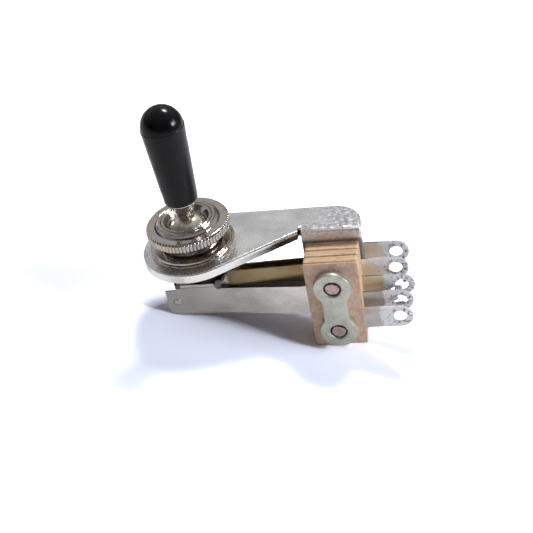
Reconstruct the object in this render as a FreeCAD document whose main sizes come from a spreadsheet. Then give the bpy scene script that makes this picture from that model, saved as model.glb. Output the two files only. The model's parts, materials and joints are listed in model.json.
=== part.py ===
import FreeCAD, Part
import Sketcher
import math
import os
import re
from FreeCAD import Placement, Rotation, Vector

# Right-angle three-way toggle switch with leaf contacts, for selecting a guitar's pickups.
# Frame: origin on the bushing's axis at the top face of the bracket's plate, +Z out of the
# bushing, +X towards the leaf stack and its solder lugs, +Y towards the back.
# Every drop is measured down from the plate's top face. All sizes are in millimetres.

sizes = [
    # bracket: sheet steel plate with a flange bent down from its front edge
    ("plateSheet", 1.8, "thickness of the bracket's sheet"),
    ("plateEndRadius", 9.7, "radius of the plate's round end"),
    ("plateEdgeRadius", 0.3, "rounding of the bracket's outer edges"),
    ("flangeFrontY", 1.85, "front face of the flange"),
    ("flangeWidth", 11.3, "width of the flange along X"),
    ("flangeDrop", 22.4, "reach of the flange below the plate's top"),
    ("flangeCornerRadius", 1.2, "radius of the flange's lower corners"),
    ("bendRadius", 2.2, "outer radius of the bend"),
    ("bendSeam", 0.3, "flat stretch between the bend and the seam with the plate"),
    ("reliefWidth", 0.6, "width of the bend's relief notch"),
    ("reliefDepth", 1.1, "depth of the bend's relief notch"),
    # leaf stack, clamped to the flange's front
    ("stackX", 26.1, "middle of the stack"),
    ("stackWidth", 10.1, "width of the insulators"),
    ("stackTopDrop", 2.95, "top edge of the insulators"),
    ("stackHeight", 19.9, "height of the insulators"),
    ("stackCornerRadius", 0.4, "rounding of the insulators' corners"),
    ("insulatorSheet", 0.35, "thickness of the two outer insulators"),
    ("spacerSheet", 1.55, "thickness of the three spacers"),
    ("leafSheet", 0.33, "thickness of the contact leaves"),
    ("padInset", 0.3, "edge of a leaf's clamped pad inside the insulators"),
    # screws, tubes and the tapped clamp plate
    ("screwUpperInset", 5.0, "upper screw below the stack's top edge"),
    ("screwLowerInset", 4.45, "lower screw above the stack's low edge"),
    ("screwRadius", 1.6, "screw thread"),
    ("screwHeadRadius", 2.8, "screw head"),
    ("screwHeadHeight", 1.8, "height of the screw head"),
    ("screwHeadEdge", 0.3, "rounding of the screw head's edge"),
    ("screwSlotWidth", 0.8, "width of the driver slot"),
    ("screwSlotDepth", 0.8, "depth of the driver slot"),
    ("screwEndInset", 0.15, "screw end below the clamp plate's face"),
    ("screwEndRound", 0.6, "rounding of the screw's end"),
    ("tubeWall", 0.5, "wall of the insulating tubes"),
    ("screwPlay", 0.06, "play between screw and tube, and tube and stack"),
    ("clampSheet", 1.6, "thickness of the clamp plate"),
    ("clampLobeRadius", 3.55, "radius of the clamp plate's two lobes"),
    ("clampWaist", 4.65, "width of the clamp plate's waist"),
    ("tapChamfer", 0.28, "chamfer of the tapped holes"),
    # contact leaves, all drops at the free parts
    ("outerRootTopDrop", 8.15, "outer leaf's upper edge at the stack"),
    ("outerRootLowDrop", 15.1, "outer leaf's lower edge at the stack"),
    ("outerFreeTopDrop", 8.85, "outer leaf's upper edge near the lever"),
    ("outerFreeLowDrop", 14.75, "outer leaf's lower edge at the free end"),
    ("outerEndX", -7.05, "free end of the outer leaves"),
    ("tabTopDrop", 7.6, "top of the tab that the actuator pushes"),
    ("tabLeftX", -4.8, "left side of the tab"),
    ("tabRightX", 2.85, "right side of the tab"),
    ("tabFlare", 0.35, "slope of the tab's right side"),
    ("tabPlaneX", 5.0, "where the outer leaves run parallel to the lever's axis"),
    ("outerCornerRadius", 1.3, "lower free corner of the outer leaves"),
    ("innerRootTopDrop", 4.45, "inner leaf's upper edge at the stack"),
    ("innerRootLowDrop", 8.35, "inner leaf's lower edge at the stack"),
    ("innerStepTopDrop", 5.1, "inner leaf's upper edge where it steps down"),
    ("innerStepLowDrop", 8.5, "inner leaf's lower edge where it steps down"),
    ("innerStepX", 6.3, "start of the inner leaf's step"),
    ("innerStepRun", 3.1, "length of the step"),
    ("innerFreeHeight", 2.6, "height of the inner leaf's free arm"),
    ("innerEndX", -6.3, "free end of the inner leaves"),
    ("rearJogX", 9.0, "start of the rear inner leaf's jog"),
    ("frontJogX", 6.8, "start of the front inner leaf's jog"),
    ("jogEndX", 3.2, "end of both jogs"),
    # contacts
    ("contactX", -5.0, "contact rivets"),
    ("contactDrop", 11.65, "contact rivets"),
    ("contactRadius", 0.78, "head of a contact rivet"),
    ("contactShankRadius", 0.5, "shank of a contact rivet"),
    ("contactHead", 0.4, "height of a contact rivet's head"),
    ("contactTail", 0.22, "height of a contact rivet's peened tail"),
    ("contactGap", 0.02, "distance between two closed contacts"),
    # solder lugs
    ("lugHeight", 4.9, "height of a solder lug"),
    ("lugHoleRadius", 1.25, "wire hole"),
    ("frontOuterLugEndX", 40.4, "end of the front outer lug"),
    ("frontInnerLugEndX", 40.6, "end of the front inner lug"),
    ("rearInnerLugEndX", 41.0, "end of the rear inner lug"),
    ("rearOuterLugEndX", 40.0, "end of the rear outer lug"),
    ("groundLugEndX", 40.2, "end of the ground lug"),
    ("frontOuterLugLow", 3.85, "front outer lug below the stack's middle"),
    ("frontInnerLugLow", 1.5, "front inner lug below the stack's middle"),
    ("rearInnerLugHigh", 0.8, "rear inner lug above the stack's middle"),
    ("rearOuterLugHigh", 3.5, "rear outer lug above the stack's middle"),
    ("groundLugHigh", 0.45, "ground lug above the upper screw"),
    ("groundSheet", 0.4, "thickness of the ground lug"),
    ("groundEyeRadius", 3.3, "eye of the ground lug round its screw"),
    ("solderX", 36.1, "solder that joins the two inner lugs"),
    ("solderRadius", 1.25, "radius of that solder"),
    ("solderWaist", 0.9, "its radius half way between the lugs"),
    # bushing
    ("threadRadius", 5.95, "outside of the bushing's thread"),
    ("collarLip", 0.2, "reach of the base collar past the nut"),
    ("collarHeight", 1.2, "height of the collar above the plate"),
    ("collarChamfer", 0.45, "step of the collar's top edge"),
    ("undercutRadius", 5.45, "undercut between collar and thread"),
    ("undercutHeight", 0.4, "height of the undercut"),
    ("threadTop", 5.6, "top of the thread"),
    ("rimTop", 6.3, "top of the bushing's rim"),
    ("rimOuterRadius", 5.35, "outer edge of the rim"),
    ("rimGrooveRadius", 4.85, "groove between the two beads of the rim"),
    ("rimGrooveDepth", 0.3, "depth of that groove"),
    ("dishRadius", 4.35, "upper edge of the dish"),
    ("mouthRadius", 3.5, "mouth that keeps the ball in"),
    ("neckRadius", 5.2, "bushing where it passes through the plate"),
    ("stakeRadius", 5.9, "lip staked over under the plate"),
    ("stakeHeight", 0.75, "height of that lip"),
    # knurled nut
    ("nutWall", 2.0, "width of the nut's ring outside the thread"),
    ("nutTop", 5.5, "top face of the nut"),
    ("nutThickness", 2.0, "thickness of the nut"),
    ("nutChamfer", 0.35, "outer edges of the nut"),
    ("nutMouth", 0.25, "countersink of the nut's thread"),
    ("threadPlay", 0.05, "play between nut and bushing"),
    ("knurlCount", 72, "teeth of the knurl"),
    ("knurlDepth", 0.26, "depth of the knurl"),
    # lever, tip and actuator
    ("pivotHeight", 2.8, "middle of the lever's ball"),
    ("ballRadius", 4.0, "lever's ball"),
    ("ballPlay", 0.1, "play between ball and bushing"),
    ("pinRadius", 0.6, "pivot pin"),
    ("pinPlay", 0.05, "play between pin and ball"),
    ("pinLength", 10.9, "pivot pin"),
    ("shaftRadius", 1.5, "lever below the ball"),
    ("stemRadius", 1.65, "lever just above the ball"),
    ("stemTopRadius", 2.6, "lever under the tip"),
    ("studRadius", 1.9, "threaded stud inside the tip"),
    ("studTop", 21.5, "end of the stud"),
    ("tipBottom", 10.4, "lower face of the tip"),
    ("tipHeight", 19.4, "height of the tip"),
    ("tipRadius", 4.0, "widest radius of the tip"),
    ("tipBottomRadius", 3.15, "radius at the tip's lower face"),
    ("tipLedge", 0.1, "ledge under the tip's dome"),
    ("tipEdgeRadius", 0.35, "rounding of the tip's lower edge"),
    ("actuatorRadius", 2.55, "nylon actuator on the lever's lower end"),
    ("actuatorTopDrop", 7.1, "top of the actuator"),
    ("actuatorHeight", 2.75, "height of the actuator"),
    ("actuatorRound", 0.7, "rounding of the actuator's edges"),
    ("actuatorPlay", 0.15, "gap between actuator and outer leaves at rest"),
]

doc = FreeCAD.newDocument("toggle_switch")
sheet = doc.addObject("Spreadsheet::Sheet", "Sizes")
for row, (alias, value, note) in enumerate(sizes, start=1):
    sheet.set(f"A{row}", note)
    sheet.set(f"B{row}", str(value))
    sheet.setAlias(f"B{row}", alias)
doc.recompute()
size = {alias: value for alias, value, note in sizes}

# Places that several pieces share, written once in the sheet's words.
flangeLeft = "(stackX - flangeWidth / 2)"
flangeRight = "(stackX + flangeWidth / 2)"
flangeBackY = "(flangeFrontY + plateSheet)"
stackLeft = "(stackX - stackWidth / 2)"
stackRight = "(stackX + stackWidth / 2)"
stackLowDrop = "(stackTopDrop + stackHeight)"
stackMiddleDrop = "(stackTopDrop + stackHeight / 2)"
screwUpperDrop = "(stackTopDrop + screwUpperInset)"
screwLowerDrop = f"({stackLowDrop} - screwLowerInset)"
screwDrops = (screwUpperDrop, screwLowerDrop)
tubeRadius = "(screwRadius + screwPlay + tubeWall)"
stackHoleRadius = f"({tubeRadius} + screwPlay)"
pitch = "(leafSheet + spacerSheet)"
rearOuterY = "(flangeFrontY - insulatorSheet - leafSheet / 2)"
rearInnerY = f"({rearOuterY} - {pitch})"
frontInnerY = f"({rearOuterY} - 2 * {pitch})"
frontOuterY = f"({rearOuterY} - 3 * {pitch})"
stackFrontY = f"({frontOuterY} - leafSheet / 2 - insulatorSheet)"
clampFrontY = f"({stackFrontY} - clampSheet)"
outerTabY = "(actuatorRadius + actuatorPlay + leafSheet / 2)"
innerArmY = f"({outerTabY} - leafSheet - 2 * contactHead - contactGap)"
frontOuterLugDrop = f"({stackMiddleDrop} + frontOuterLugLow)"
frontInnerLugDrop = f"({stackMiddleDrop} + frontInnerLugLow)"
rearInnerLugDrop = f"({stackMiddleDrop} - rearInnerLugHigh)"
rearOuterLugDrop = f"({stackMiddleDrop} - rearOuterLugHigh)"
groundLugDrop = f"({screwUpperDrop} - groundLugHigh)"
nutRadius = "(threadRadius + nutWall)"
nutBottom = "(nutTop - nutThickness)"
collarRadius = f"({nutRadius} + collarLip)"


# Names the sheet in front of every word that is one of its aliases.
def bound(expression):
    return re.sub(r"[A-Za-z]\w*(?![\w(])", r"Sizes.\g<0>", expression)


# Drawing helpers

def newBody(label):
    body = doc.addObject("PartDesign::Body", label)
    body.Label = label
    return body


def moveTo(body, x="0", y="0", z="0"):
    for axis, expression in (("x", x), ("y", y), ("z", z)):
        body.setExpression(f"Placement.Base.{axis}", bound(expression))


# A sketch on one of the body's planes, raised along the plane's normal.
def sketchOn(body, plane, height="0"):
    sketch = body.newObject("Sketcher::SketchObject", body.Label + "_sketch")
    base = [f for f in body.Origin.OriginFeatures if f.Role == plane][0]
    sketch.AttachmentSupport = (base, [""])
    sketch.MapMode = "FlatFace"
    sketch.setExpression("AttachmentOffset.Base.z", bound(height))
    return sketch


# A measured constraint that follows the sheet.
def hold(sketch, kind, parts, expression, start=1.0):
    index = sketch.addConstraint(Sketcher.Constraint(kind, *parts, start))
    sketch.setExpression(f"Constraints[{index}]", bound(expression))


def pinPoint(sketch, element, point, x, y):
    hold(sketch, "DistanceX", (-1, 1, element, point), x)
    hold(sketch, "DistanceY", (-1, 1, element, point), y)


# A closed outline whose corners are pairs of expressions.
def polygon(sketch, corners):
    first, count = sketch.GeometryCount, len(corners)
    ring = [Vector(math.cos(2 * math.pi * i / count), math.sin(2 * math.pi * i / count), 0)
            for i in range(count)]
    for i in range(count):
        sketch.addGeometry(Part.LineSegment(ring[i], ring[(i + 1) % count]), False)
    for i, (x, y) in enumerate(corners):
        sketch.addConstraint(Sketcher.Constraint(
            "Coincident", first + i, 2, first + (i + 1) % count, 1))
        pinPoint(sketch, first + i, 1, x, y)


def circle(sketch, x, y, radius):
    element = sketch.addGeometry(Part.Circle(Vector(1, 1, 0), Vector(0, 0, 1), 1.0), False)
    pinPoint(sketch, element, 3, x, y)
    hold(sketch, "Radius", (element,), radius)


def pad(body, sketch, length, reverse=False):
    feature = body.newObject("PartDesign::Pad", body.Label + "_pad")
    feature.Profile = sketch
    feature.setExpression("Length", bound(length))
    feature.Reversed = reverse
    return feature


def cutThrough(body, sketch):
    feature = body.newObject("PartDesign::Pocket", body.Label + "_cut")
    feature.Profile = sketch
    feature.Type = "ThroughAll"
    feature.SideType = "Symmetric"
    return feature


def revolve(body, sketch, axis="V_Axis"):
    feature = body.newObject("PartDesign::Revolution", body.Label + "_turned")
    feature.Profile = sketch
    feature.ReferenceAxis = (sketch, [axis])
    feature.Angle = 360
    return feature


# Rounds or chamfers the edges of the body so far that the test picks.
def roundEdges(body, radius, chosen, kind="Fillet"):
    doc.recompute()
    base = body.Tip
    names = [f"Edge{i + 1}" for i, edge in enumerate(base.Shape.Edges) if chosen(edge)]
    feature = body.newObject("PartDesign::" + kind, body.Label + "_edges")
    feature.Base = (base, names)
    feature.setExpression("Radius" if kind == "Fillet" else "Size", bound(radius))
    return feature


def along(edge, axis):
    a, b = edge.Vertexes[0].Point, edge.Vertexes[-1].Point
    return (b - a).Length > 1e-6 and (b - a).normalize().isEqual(axis * (
        1 if (b - a).dot(axis) > 0 else -1), 1e-5)


def middle(edge):
    return (edge.Vertexes[0].Point + edge.Vertexes[-1].Point) * 0.5


# Bracket

# Flange bent down at the front for the stack, joined to a plate with one round end.
def makeBracket():
    body = newBody("bracket")
    front, back = size["flangeFrontY"], size["flangeFrontY"] + size["plateSheet"]
    joinY = "(flangeFrontY + bendRadius + bendSeam)"
    section = sketchOn(body, "YZ_Plane", flangeLeft)
    polygon(section, [(joinY, "0"), ("flangeFrontY", "0"), ("flangeFrontY", "-flangeDrop"),
                      (flangeBackY, "-flangeDrop"), (flangeBackY, "-plateSheet"),
                      (joinY, "-plateSheet")])
    pad(body, section, "flangeWidth")
    roundEdges(body, "bendRadius", lambda e: along(e, Vector(1, 0, 0)) and
               abs(middle(e).y - front) < 1e-4 and abs(middle(e).z) < 1e-4)
    roundEdges(body, "bendRadius - plateSheet", lambda e: along(e, Vector(1, 0, 0)) and
               abs(middle(e).y - back) < 1e-4 and abs(middle(e).z + size["plateSheet"]) < 1e-4)
    roundEdges(body, "flangeCornerRadius", lambda e: along(e, Vector(0, 1, 0)) and
               abs(middle(e).z + size["flangeDrop"]) < 1e-4)
    plan = sketchOn(body, "XY_Plane")
    drawPlate(plan, joinY)
    pad(body, plan, "plateSheet", reverse=True)
    holes = sketchOn(body, "XY_Plane")
    circle(holes, "0", "0", "neckRadius")
    cutThrough(body, holes)
    screwHoles = sketchOn(body, "XZ_Plane")
    for drop in screwDrops:
        circle(screwHoles, "stackX", f"-{drop}", "screwRadius + screwPlay")
    cutThrough(body, screwHoles)
    # the rounding runs on from the round end over the corner, the bend and the flange
    roundEdges(body, "plateEdgeRadius", lambda e: abs(middle(e).z) < 1e-4 and
               type(e.Curve).__name__ == "Circle" and
               abs(e.Curve.Radius - size["plateEndRadius"]) < 1e-4)
    return body


# The plate's plan: round end, straight back, a corner that is round down to the flange's seam,
# relief notch and a front edge that slopes back to the round end.
def drawPlate(plan, joinY):
    radius, right = size["plateEndRadius"], size["stackX"] + size["flangeWidth"] / 2
    left, front = size["stackX"] - size["flangeWidth"] / 2, size["flangeFrontY"]
    notchX, foot = left - size["reliefWidth"], front + size["bendRadius"] + size["bendSeam"]
    corner = radius - foot
    notchY = front + size["reliefDepth"]
    slope = math.atan2(front, notchX) - math.acos(radius / math.hypot(notchX, front))
    roundEnd = Part.ArcOfCircle(Part.Circle(Vector(), Vector(0, 0, 1), radius),
                                math.pi / 2, 2 * math.pi + slope)
    backCorner = Part.ArcOfCircle(Part.Circle(
        Vector(right - corner, foot, 0), Vector(0, 0, 1), corner), 0, math.pi / 2)
    corners = [Vector(right, foot, 0), Vector(left, foot, 0),
               Vector(left, notchY, 0), Vector(notchX, notchY, 0), Vector(notchX, front, 0),
               Vector(radius * math.cos(slope), radius * math.sin(slope), 0)]
    plan.addGeometry(roundEnd, False)
    plan.addGeometry(Part.LineSegment(Vector(0, radius, 0),
                                      Vector(right - corner, radius, 0)), False)
    plan.addGeometry(backCorner, False)
    for a, b in zip(corners, corners[1:]):
        plan.addGeometry(Part.LineSegment(a, b), False)
    end, rim, corner, seam, notchIn, notchTop, notchOut, sloped = range(8)
    for join in (("Coincident", end, 3, -1, 1), ("Tangent", end, 1, rim, 1),
                 ("Tangent", rim, 2, corner, 2), ("Perpendicular", corner, 1, seam, 1),
                 ("Coincident", seam, 2, notchIn, 1),
                 ("Coincident", notchIn, 2, notchTop, 1),
                 ("Coincident", notchTop, 2, notchOut, 1),
                 ("Coincident", notchOut, 2, sloped, 1), ("Tangent", sloped, 2, end, 2),
                 ("Horizontal", rim), ("Horizontal", seam),
                 ("Vertical", notchIn), ("Horizontal", notchTop), ("Vertical", notchOut)):
        plan.addConstraint(Sketcher.Constraint(*join))
    for kind, parts, expression, start in (
            ("Radius", (end,), "plateEndRadius", radius),
            ("DistanceX", (-1, 1, seam, 1), flangeRight, right),
            ("DistanceX", (-1, 1, seam, 2), flangeLeft, left),
            ("DistanceY", (-1, 1, seam, 2), joinY, foot),
            ("DistanceX", (notchTop, 2, notchTop, 1), "reliefWidth", size["reliefWidth"]),
            ("DistanceY", (-1, 1, notchIn, 2), "flangeFrontY + reliefDepth", notchY),
            ("DistanceY", (-1, 1, notchOut, 2), "flangeFrontY", front)):
        hold(plan, kind, parts, expression, start)


# Bushing, nut and lever, turned about the Z axis

def makeBushing():
    body = newBody("bushing")
    bore = "(ballRadius + ballPlay)"
    seatTop = f"(pivotHeight + sqrt({bore} * {bore} - mouthRadius * mouthRadius))"
    profile = sketchOn(body, "XZ_Plane")
    polygon(profile, [
        (bore, "-plateSheet - stakeHeight"), ("stakeRadius", "-plateSheet - stakeHeight"),
        ("stakeRadius", "-plateSheet"), ("neckRadius", "-plateSheet"), ("neckRadius", "0"),
        (collarRadius, "0"), (collarRadius, "collarHeight - collarChamfer"),
        (f"{collarRadius} - collarChamfer", "collarHeight"), ("undercutRadius", "collarHeight"),
        ("undercutRadius", "collarHeight + undercutHeight"),
        ("threadRadius", "collarHeight + undercutHeight"), ("threadRadius", "threadTop"),
        ("rimOuterRadius", "rimTop"), ("rimGrooveRadius", "rimTop - rimGrooveDepth"),
        ("(rimGrooveRadius + dishRadius) / 2", "rimTop"), ("dishRadius", "rimTop"),
        ("mouthRadius", seatTop), (bore, "pivotHeight")])
    revolve(body, profile)
    seat = sketchOn(body, "XZ_Plane")
    radius = size["ballRadius"] + size["ballPlay"]
    centre = Vector(0, size["pivotHeight"], 0)
    arc = seat.addGeometry(Part.ArcOfCircle(
        Part.Circle(centre, Vector(0, 0, 1), radius), -math.pi / 2, math.pi / 2), False)
    line = seat.addGeometry(Part.LineSegment(
        centre + Vector(0, radius, 0), centre - Vector(0, radius, 0)), False)
    for join in (("Coincident", line, 1, arc, 2), ("Coincident", line, 2, arc, 1),
                 ("PointOnObject", arc, 1, -2), ("PointOnObject", arc, 2, -2),
                 ("PointOnObject", arc, 3, -2)):
        seat.addConstraint(Sketcher.Constraint(*join))
    hold(seat, "Radius", (arc,), bore, radius)
    hold(seat, "DistanceY", (-1, 1, arc, 3), "pivotHeight", centre.y)
    groove = body.newObject("PartDesign::Groove", "ball_seat")
    groove.Profile = seat
    groove.ReferenceAxis = (seat, ["V_Axis"])
    groove.Angle = 360
    pinHole = sketchOn(body, "YZ_Plane")
    circle(pinHole, "0", "pivotHeight", "pinRadius")
    cutThrough(body, pinHole)
    return body


# Thin round nut with a straight knurl, countersunk above.
def makeNut():
    body = newBody("knurled_nut")
    bore = "threadRadius + threadPlay"
    profile = sketchOn(body, "XZ_Plane")
    polygon(profile, [
        (bore, nutBottom), (f"{nutRadius} - nutChamfer", nutBottom),
        (nutRadius, f"{nutBottom} + nutChamfer"), (nutRadius, "nutTop - nutChamfer"),
        (f"{nutRadius} - nutChamfer", "nutTop"), (f"{bore} + nutMouth", "nutTop"),
        (bore, "nutTop - nutMouth")])
    revolve(body, profile)
    notch = sketchOn(body, "XY_Plane")
    halfWidth = f"({nutRadius} * sin(180 / knurlCount) * 0.8)"
    polygon(notch, [(f"{nutRadius} - knurlDepth", "0"),
                    (f"{nutRadius} + knurlDepth", f"-2 * {halfWidth}"),
                    (f"{nutRadius} + knurlDepth", f"2 * {halfWidth}")])
    cut = cutThrough(body, notch)
    pattern = body.newObject("PartDesign::PolarPattern", "knurl")
    pattern.Originals = [cut]
    pattern.Axis = ([f for f in body.Origin.OriginFeatures if f.Role == "Z_Axis"][0], [""])
    pattern.Angle = 360
    pattern.setExpression("Occurrences", bound("knurlCount"))
    body.Tip = pattern
    return body


# Turned lever: stud, tapered stem, ball and lower shaft in one piece.
def makeLever():
    body = newBody("lever")
    ball = sketchOn(body, "XZ_Plane")
    stemFoot = "(pivotHeight + sqrt(ballRadius * ballRadius - stemRadius * stemRadius))"
    shaftTop = "(pivotHeight - sqrt(ballRadius * ballRadius - shaftRadius * shaftRadius))"
    polygon(ball, [
        ("0", "studTop"), ("studRadius", "studTop"), ("studRadius", "tipBottom"),
        ("stemTopRadius", "tipBottom"), ("stemTopRadius", "tipBottom - 0.4"),
        ("stemRadius", f"{stemFoot} + 0.8"), ("stemRadius", stemFoot), ("0", stemFoot)])
    revolve(body, ball)
    shaft = sketchOn(body, "XZ_Plane")
    polygon(shaft, [("0", shaftTop), ("shaftRadius", shaftTop),
                    ("shaftRadius", "-actuatorTopDrop - actuatorHeight + actuatorRound"),
                    ("0", "-actuatorTopDrop - actuatorHeight + actuatorRound")])
    sphere = sketchOn(body, "XZ_Plane")
    radius, centre = size["ballRadius"], Vector(0, size["pivotHeight"], 0)
    arc = sphere.addGeometry(Part.ArcOfCircle(
        Part.Circle(centre, Vector(0, 0, 1), radius), -math.pi / 2, math.pi / 2), False)
    line = sphere.addGeometry(Part.LineSegment(
        centre + Vector(0, radius, 0), centre - Vector(0, radius, 0)), False)
    for join in (("Coincident", line, 1, arc, 2), ("Coincident", line, 2, arc, 1),
                 ("PointOnObject", arc, 1, -2), ("PointOnObject", arc, 2, -2),
                 ("PointOnObject", arc, 3, -2)):
        sphere.addConstraint(Sketcher.Constraint(*join))
    hold(sphere, "Radius", (arc,), "ballRadius", radius)
    hold(sphere, "DistanceY", (-1, 1, arc, 3), "pivotHeight", centre.y)
    revolve(body, sphere)
    revolve(body, shaft)
    pinHole = sketchOn(body, "YZ_Plane")
    circle(pinHole, "0", "pivotHeight", "pinRadius + pinPlay")
    cutThrough(body, pinHole)
    return body


# Moulded tip: a slow taper, a fine ledge and a round dome, with a blind threaded hole.
def makeTip():
    body = newBody("lever_tip")
    domeZ = "(tipBottom + tipHeight - tipRadius + tipLedge)"
    profile = sketchOn(body, "XZ_Plane")
    polygon(profile, [
        ("0", "studTop + 0.3"), ("studRadius", "studTop"), ("studRadius", "tipBottom"),
        ("tipBottomRadius - tipEdgeRadius", "tipBottom"),
        ("tipBottomRadius - tipEdgeRadius * 0.3", "tipBottom + tipEdgeRadius * 0.3"),
        ("tipBottomRadius", "tipBottom + tipEdgeRadius"), ("tipRadius", domeZ), ("0", domeZ)])
    revolve(body, profile)
    dome = sketchOn(body, "XZ_Plane")
    radius = size["tipRadius"] - size["tipLedge"]
    centre = Vector(0, size["tipBottom"] + size["tipHeight"] - radius, 0)
    arc = dome.addGeometry(Part.ArcOfCircle(
        Part.Circle(centre, Vector(0, 0, 1), radius), 0, math.pi / 2), False)
    top = dome.addGeometry(Part.LineSegment(centre + Vector(0, radius, 0), centre), False)
    foot = dome.addGeometry(Part.LineSegment(centre, centre + Vector(radius, 0, 0)), False)
    for join in (("Coincident", arc, 2, top, 1), ("Coincident", top, 2, foot, 1),
                 ("Coincident", foot, 2, arc, 1), ("Coincident", top, 2, arc, 3),
                 ("PointOnObject", top, 1, -2), ("PointOnObject", top, 2, -2),
                 ("Horizontal", foot)):
        dome.addConstraint(Sketcher.Constraint(*join))
    hold(dome, "Radius", (arc,), "tipRadius - tipLedge", radius)
    hold(dome, "DistanceY", (-1, 1, arc, 3), domeZ, centre.y)
    revolve(body, dome)
    return body


# Nylon cap that pushes the outer leaves apart from the inner ones.
def makeActuator():
    body = newBody("actuator_cap")
    low = "(-actuatorTopDrop - actuatorHeight)"
    profile = sketchOn(body, "XZ_Plane")
    polygon(profile, [
        ("0", low), ("actuatorRadius - actuatorRound", low),
        ("actuatorRadius - actuatorRound * 0.29", f"{low} + actuatorRound * 0.29"),
        ("actuatorRadius", f"{low} + actuatorRound"),
        ("actuatorRadius", "-actuatorTopDrop - actuatorRound"),
        ("actuatorRadius - actuatorRound * 0.29", "-actuatorTopDrop - actuatorRound * 0.29"),
        ("actuatorRadius - actuatorRound", "-actuatorTopDrop"),
        ("shaftRadius", "-actuatorTopDrop"), ("shaftRadius", f"{low} + actuatorRound"),
        ("0", f"{low} + actuatorRound")])
    revolve(body, profile)
    return body


def makePin():
    pin = doc.addObject("Part::Cylinder", "pivot_pin")
    pin.setExpression("Radius", bound("pinRadius"))
    pin.setExpression("Height", bound("pinLength"))
    pin.Placement = Placement(Vector(), Rotation(Vector(0, 1, 0), 90))
    pin.setExpression("Placement.Base.x", bound("-pinLength / 2"))
    pin.setExpression("Placement.Base.z", bound("pivotHeight"))
    return pin


# Leaf stack

# One phenolic sheet of the stack with its two tube holes.
def makeSheet(label, frontY, thickness):
    body = newBody(label)
    profile = sketchOn(body, "XZ_Plane", f"-({frontY} + {thickness})")
    polygon(profile, [(stackLeft, "-stackTopDrop"), (stackRight, "-stackTopDrop"),
                      (stackRight, f"-{stackLowDrop}"), (stackLeft, f"-{stackLowDrop}")])
    for drop in screwDrops:
        circle(profile, "stackX", f"-{drop}", stackHoleRadius)
    pad(body, profile, thickness)
    roundEdges(body, "stackCornerRadius", lambda e: along(e, Vector(0, 1, 0)) and
               abs(abs(middle(e).x - size["stackX"]) - size["stackWidth"] / 2) < 1e-4)
    return body


# A stamped and formed leaf: a strip bent along its route, then trimmed to its outline.
def makeLeaf(label, route, outline, lugDrop, lugEndX, freeRound):
    body = newBody(label)
    strip = sketchOn(body, "XY_Plane")
    upper = [(x, f"{y} + leafSheet / 2") for x, y in route]
    lower = [(x, f"{y} - leafSheet / 2") for x, y in route]
    polygon(strip, upper + lower[::-1])
    pad(body, strip, f"{stackLowDrop} + 1", reverse=True)
    padLeft, padRight = f"({stackLeft} + padInset)", f"({stackRight} - padInset)"
    padTop, padLow = "(-stackTopDrop - padInset)", f"(padInset - {stackLowDrop})"
    lugTop, lugLow = f"(lugHeight / 2 - {lugDrop})", f"(-lugHeight / 2 - {lugDrop})"
    trim = sketchOn(body, "XZ_Plane")
    polygon(trim, [("outerEndX - 9", "9"), (f"{lugEndX} + 9", "9"),
                   (f"{lugEndX} + 9", f"-{stackLowDrop} - 9"),
                   ("outerEndX - 9", f"-{stackLowDrop} - 9")])
    polygon(trim, [(padLeft, padTop), (padRight, padTop), (padRight, lugTop),
                   (lugEndX, lugTop), (lugEndX, lugLow), (padRight, lugLow),
                   (padRight, padLow), (padLeft, padLow)]
            + [(x or padLeft, z) for x, z in outline])
    cutThrough(body, trim)
    lugX = size[lugEndX] - 1e-3
    roundEdges(body, "lugHeight / 2 - 0.02",
               lambda e: along(e, Vector(0, 1, 0)) and middle(e).x > lugX)
    freeRadius, freeX, freeZ = freeRound
    roundEdges(body, freeRadius, lambda e: along(e, Vector(0, 1, 0)) and
               middle(e).x < size[freeX] + 1e-3 and middle(e).z < freeZ)
    holes = sketchOn(body, "XZ_Plane")
    for drop in screwDrops:
        circle(holes, "stackX", f"-{drop}", stackHoleRadius)
    circle(holes, f"{lugEndX} - lugHeight / 2", f"-{lugDrop}", "lugHoleRadius")
    circle(holes, "contactX", "-contactDrop", "contactShankRadius")
    cutThrough(body, holes)
    return body


outerOutline = [
    ("", "-outerRootLowDrop"), ("outerEndX", "-outerFreeLowDrop"),
    ("outerEndX", "-outerFreeTopDrop"), ("tabLeftX", "-outerFreeTopDrop"),
    ("tabLeftX", "-tabTopDrop"), ("tabRightX", "-tabTopDrop"),
    ("tabRightX + tabFlare", "-outerFreeTopDrop"), ("", "-outerRootTopDrop")]
armTop = "(innerFreeHeight / 2 - contactDrop)"
armLow = "(-innerFreeHeight / 2 - contactDrop)"
innerOutline = [
    ("", "-innerRootLowDrop"), ("innerStepX + 1.6", "-innerStepLowDrop"),
    ("innerStepX - innerStepRun + 2.2", armLow), ("innerEndX", armLow), ("innerEndX", armTop),
    ("innerStepX - innerStepRun", armTop), ("innerStepX", "-innerStepTopDrop"),
    ("", "-innerRootTopDrop")]


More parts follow.
